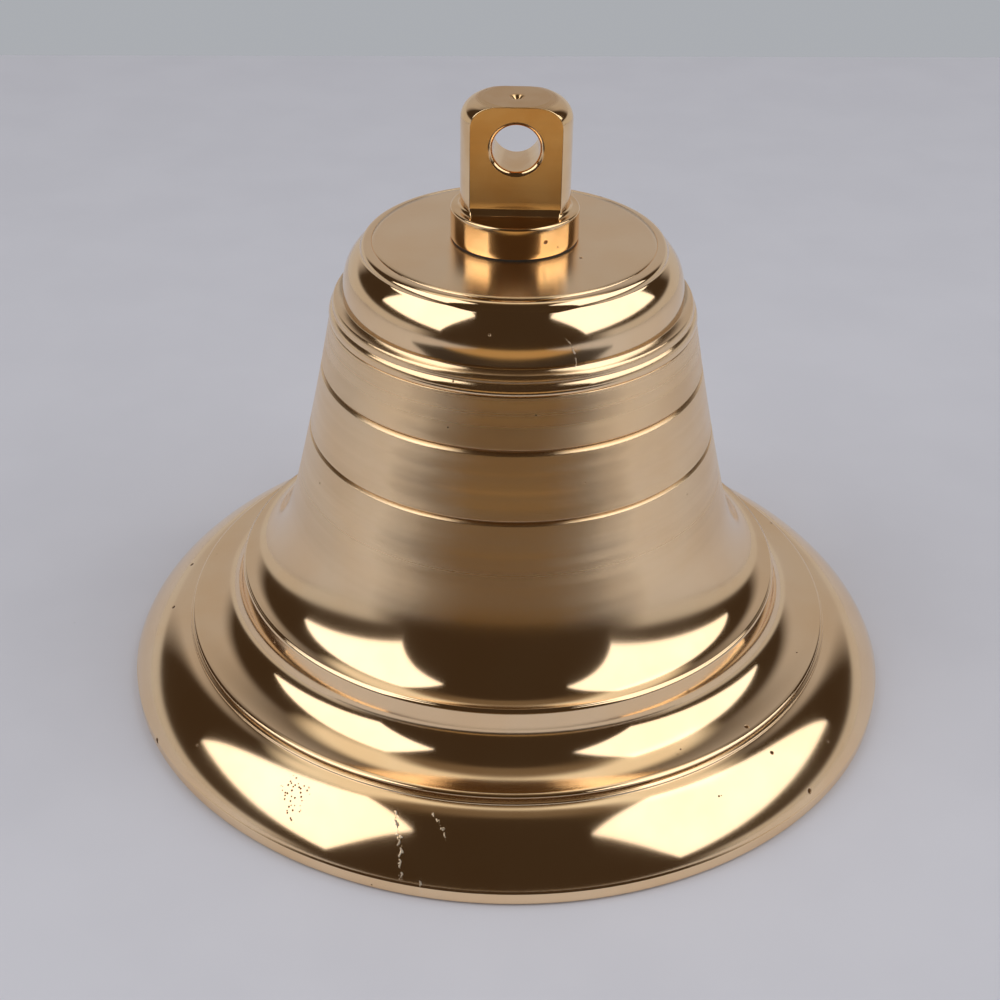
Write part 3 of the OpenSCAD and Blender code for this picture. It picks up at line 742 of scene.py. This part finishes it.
def loft(name, rings, low_z, high_z):
    """Closed skin through rings of equal count, with a pole at each end"""
    mesh = bpy.data.meshes.new(name)
    count = len(rings[0][0])
    verts = []
    for points, z in rings:
        verts += [(x * MM, y * MM, z * MM) for x, y in points]
    low, high = len(verts), len(verts) + 1
    verts += [(0, 0, low_z * MM), (0, 0, high_z * MM)]
    faces = []
    for k in range(len(rings) - 1):
        for i in range(count):
            j = (i + 1) % count
            faces.append((k * count + i, k * count + j, (k + 1) * count + j, (k + 1) * count + i))
    last = (len(rings) - 1) * count
    for i in range(count):
        j = (i + 1) % count
        faces.append((low, j, i))
        faces.append((high, last + i, last + j))
    mesh.from_pydata(verts, [], faces)
    return to_piece(name, mesh)


def bore_cutter():
    """Bore with a rounded edge at each end, lying along Y"""
    reach = LUG_HALF + 1
    edge = []
    for i in range(9):
        t = math.radians(10 + 80 * i / 8)
        edge.append((BORE_R + BORE_CHAMFER * (1 - math.sin(t)), LUG_HALF - BORE_CHAMFER * (1 - math.cos(t))))
    near_end = [(r, -y) for r, y in edge]
    outer_r = BORE_R + BORE_CHAMFER
    body = [(outer_r, -reach)] + near_end + edge[::-1] + [(outer_r, reach)]
    steps = 120
    mesh = bpy.data.meshes.new("bore cutter")
    verts, faces = [], []
    for r, y in body:
        for i in range(steps):
            a = 2 * math.pi * i / steps
            verts.append((r * math.cos(a) * MM, y * MM, (BORE_Z + r * math.sin(a)) * MM))
    for k in range(len(body) - 1):
        for i in range(steps):
            j = (i + 1) % steps
            faces.append((k * steps + i, (k + 1) * steps + i, (k + 1) * steps + j, k * steps + j))
    faces.append(tuple(range(steps)))
    faces.append(tuple(reversed(range((len(body) - 1) * steps, len(body) * steps))))
    mesh.from_pydata(verts, [], faces)
    return to_piece("bore cutter", mesh)


def baked(piece):
    """The piece with its modifiers applied"""
    graph = bpy.context.evaluated_depsgraph_get()
    mesh = bpy.data.meshes.new_from_object(piece.evaluated_get(graph), depsgraph=graph)
    mesh.name = piece.name
    piece.modifiers.clear()
    piece.data = mesh
    return piece


def shade(piece, degrees):
    """Smooth shading, with an edge kept wherever the faces turn by more than the angle"""
    mesh = piece.data
    bm = bmesh.new()
    bm.from_mesh(mesh)
    bmesh.ops.remove_doubles(bm, verts=bm.verts, dist=1e-7)
    bmesh.ops.recalc_face_normals(bm, faces=bm.faces)
    limit = math.radians(degrees)
    for face in bm.faces:
        face.smooth = True
    for edge in bm.edges:
        edge.smooth = len(edge.link_faces) == 2 and edge.calc_face_angle(0) < limit
    bm.to_mesh(mesh)
    bm.free()


def lug_piece():
    piece = loft("hanging_lug_milled", lug_rings(), STUD_END, LUG_TOP - 1.8)
    shade(piece, 60)
    cutter = bore_cutter()
    shade(cutter, 60)
    cut = piece.modifiers.new("bore", "BOOLEAN")
    cut.operation = "DIFFERENCE"
    cut.solver = "EXACT"
    cut.object = cutter
    baked(piece)
    bpy.data.objects.remove(cutter)
    shade(piece, 24)
    piece.data.materials.clear()
    piece.data.materials.append(LUG)
    return piece


lug = lug_piece()
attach(lug, "bell")
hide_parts("hanging_lug")


# ---------------------------------------------------------------- the other pieces keep their solids
FINISHES = {
    "crown_gasket": FIBRE,
    "crown_washer": MACHINED_BRASS,
    "spring_washer": STEEL,
    "crown_nut": MACHINED_BRASS,
    "clapper_hanger": MACHINED_BRASS,
    "hanger_lock_pin": STEEL,
    "hinge_pin": STEEL,
    "pin_washer": MACHINED_BRASS,
    "split_pin": STEEL,
    "side_washers": BRONZE,
    "hinge_bush": BRONZE,
    "clapper_rod": CLAPPER_BRASS,
    "ball_lock_nut": MACHINED_BRASS,
    "clapper_ball": CLAPPER_BRASS,
    "bell_shell": BELL,
    "hanging_lug": LUG}
for node, finish in FINISHES.items():
    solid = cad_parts[node]
    for slot in solid.material_slots:
        slot.material = finish


# ---------------------------------------------------------------- studio
def floor_finish():
    f = Finish("pale floor")
    mottle = f.noise(f.place, 60, 3.0)
    speck = f.pits(30, 0.6)
    colour = f.mix(f.span(mottle, 0.3, 0.7), (0.66, 0.66, 0.71, 1), (0.68, 0.68, 0.73, 1))
    colour = f.mix(f.math("MULTIPLY", speck, 0.3), colour, (0.5, 0.5, 0.52, 1))
    f.shader.inputs["Specular IOR Level"].default_value = 0.3
    return f.done(colour, 0.6, None, 0.0)


def slab(name, low, high, finish):
    mesh = bpy.data.meshes.new(name)
    (x0, y0, z0), (x1, y1, z1) = low, high
    verts = [(x, y, z) for z in (z0, z1) for y in (y0, y1) for x in (x0, x1)]
    faces = [(0, 2, 3, 1), (4, 5, 7, 6), (0, 1, 5, 4), (2, 6, 7, 3), (0, 4, 6, 2), (1, 3, 7, 5)]
    mesh.from_pydata(verts, [], faces)
    mesh.materials.append(finish)
    piece = to_piece(name, mesh)
    return piece


def plain_dark(name, colour):
    material = bpy.data.materials.new(name)
    material.use_nodes = True
    material.node_tree.nodes["Principled BSDF"].inputs["Base Color"].default_value = colour
    material.node_tree.nodes["Principled BSDF"].inputs["Roughness"].default_value = 1.0
    return material


FLOOR_BACK_SLANT = 0.053
floor = slab("floor", (-2.2, -1.6, -0.02), (2.2, 0.79, 0.0), floor_finish())
for corner in floor.data.vertices:
    if corner.co.y > 0:
        corner.co.y += FLOOR_BACK_SLANT * corner.co.x


def reflected_card(name, low, high, colour):
    """A card lying on the floor in front, seen only in the polished brass"""
    card = slab(name, low, high, plain_dark(name, colour))
    card.visible_camera = False
    card.visible_diffuse = False
    card.visible_shadow = False


DARK_CARD = (0.03, 0.02, 0.013, 1)
WARM_CARD = (0.56, 0.36, 0.14, 1)
reflected_card("dark strip", (-0.50, -0.53, 0.0005), (0.50, -0.235, 0.0015), DARK_CARD)
reflected_card("warm strip", (-0.50, -1.40, 0.0005), (0.50, -0.53, 0.0015), WARM_CARD)
reflected_card("far strip", (-1.2, -1.6, 0.0005), (1.2, -1.40, 0.0015), DARK_CARD)


def softbox(name, side, front_y, back_y, low_z, high_z, x, lean, radiance):
    """A tall soft panel at one side, facing the bell, with its top leaning in"""
    width = back_y - front_y
    height = (high_z - low_z) / math.cos(lean)
    data = bpy.data.lights.new(name, "AREA")
    data.shape = "RECTANGLE"
    data.size = width
    data.size_y = height
    data.energy = radiance * math.pi * width * height
    light = bpy.data.objects.new(name, data)
    light.location = (side * x, (front_y + back_y) / 2, (low_z + high_z) / 2)
    light.rotation_euler = (math.radians(90) - lean, 0, math.radians(90 * side))
    scene.collection.objects.link(light)


softbox("left softbox", -1, -1.80, 0.32, 0.88, 3.8, 1.65, math.radians(12), 1.6)
softbox("right softbox", 1, -1.80, 0.75, 0.80, 3.8, 1.65, math.radians(12), 1.5)


def room():
    """Pale behind for the camera; in reflections, dark in front, pale behind and dim above"""
    world = bpy.data.worlds.new("room")
    world.use_nodes = True
    scene.world = world
    nodes, links = world.node_tree.nodes, world.node_tree.links
    nodes.clear()

    def math_node(operation, a, b=0.0):
        node = nodes.new("ShaderNodeMath")
        node.operation = operation
        for value, socket in zip((a, b), node.inputs):
            if isinstance(value, bpy.types.NodeSocket):
                links.new(value, socket)
            else:
                socket.default_value = value
        return node.outputs[0]

    def step(value, low, high, a=0.0, b=1.0):
        node = nodes.new("ShaderNodeMapRange")
        node.interpolation_type = "SMOOTHSTEP"
        links.new(value, node.inputs[0])
        for k, item in enumerate((low, high, a, b)):
            node.inputs[k + 1].default_value = item
        return node.outputs[0]

    def mix(amount, a, b):
        node = nodes.new("ShaderNodeMix")
        node.data_type = "RGBA"
        links.new(amount, node.inputs[0])
        for value, socket in ((a, node.inputs[6]), (b, node.inputs[7])):
            if isinstance(value, bpy.types.NodeSocket):
                links.new(value, socket)
            else:
                socket.default_value = value
        return node.outputs[2]

    split = nodes.new("ShaderNodeSeparateXYZ")
    links.new(nodes.new("ShaderNodeTexCoord").outputs["Generated"], split.inputs[0])
    x, y, z = split.outputs
    level = math_node("SQRT", math_node("ADD", math_node("MULTIPLY", x, x), math_node("MULTIPLY", y, y)))
    behind = math_node("DIVIDE", y, math_node("MAXIMUM", level, 0.001))
    back = math_node("MULTIPLY", step(behind, 0.62, 0.80), step(z, 0.55, 0.9, 1.0, 0.0))
    colour = mix(back, (0.045, 0.030, 0.018, 1), (0.42, 0.40, 0.40, 1))
    level_wall = math_node("MULTIPLY", step(behind, -0.70, -0.35), step(z, 0.10, 0.17, 1.0, 0.0))
    colour = mix(level_wall, colour, (0.48, 0.47, 0.47, 1))
    rear_glow = math_node("MULTIPLY", step(behind, 0.1, 0.6), step(z, 0.78, 0.86))
    rear_glow = math_node("MULTIPLY", rear_glow, step(z, 0.93, 0.97, 1.0, 0.0))
    ceiling = math_node("MULTIPLY", step(z, 0.80, 0.97), step(behind, -0.6, 0.6))
    colour = mix(ceiling, colour, (0.16, 0.12, 0.08, 1))
    colour = mix(rear_glow, colour, (0.85, 0.80, 0.70, 1))
    path = nodes.new("ShaderNodeLightPath")
    colour = mix(path.outputs["Is Diffuse Ray"], colour, (0.34, 0.34, 0.355, 1))
    colour = mix(path.outputs["Is Camera Ray"], colour, (0.405, 0.420, 0.445, 1))
    shade_node = nodes.new("ShaderNodeBackground")
    links.new(colour, shade_node.inputs[0])
    out = nodes.new("ShaderNodeOutputWorld")
    links.new(shade_node.outputs[0], out.inputs[0])


room()
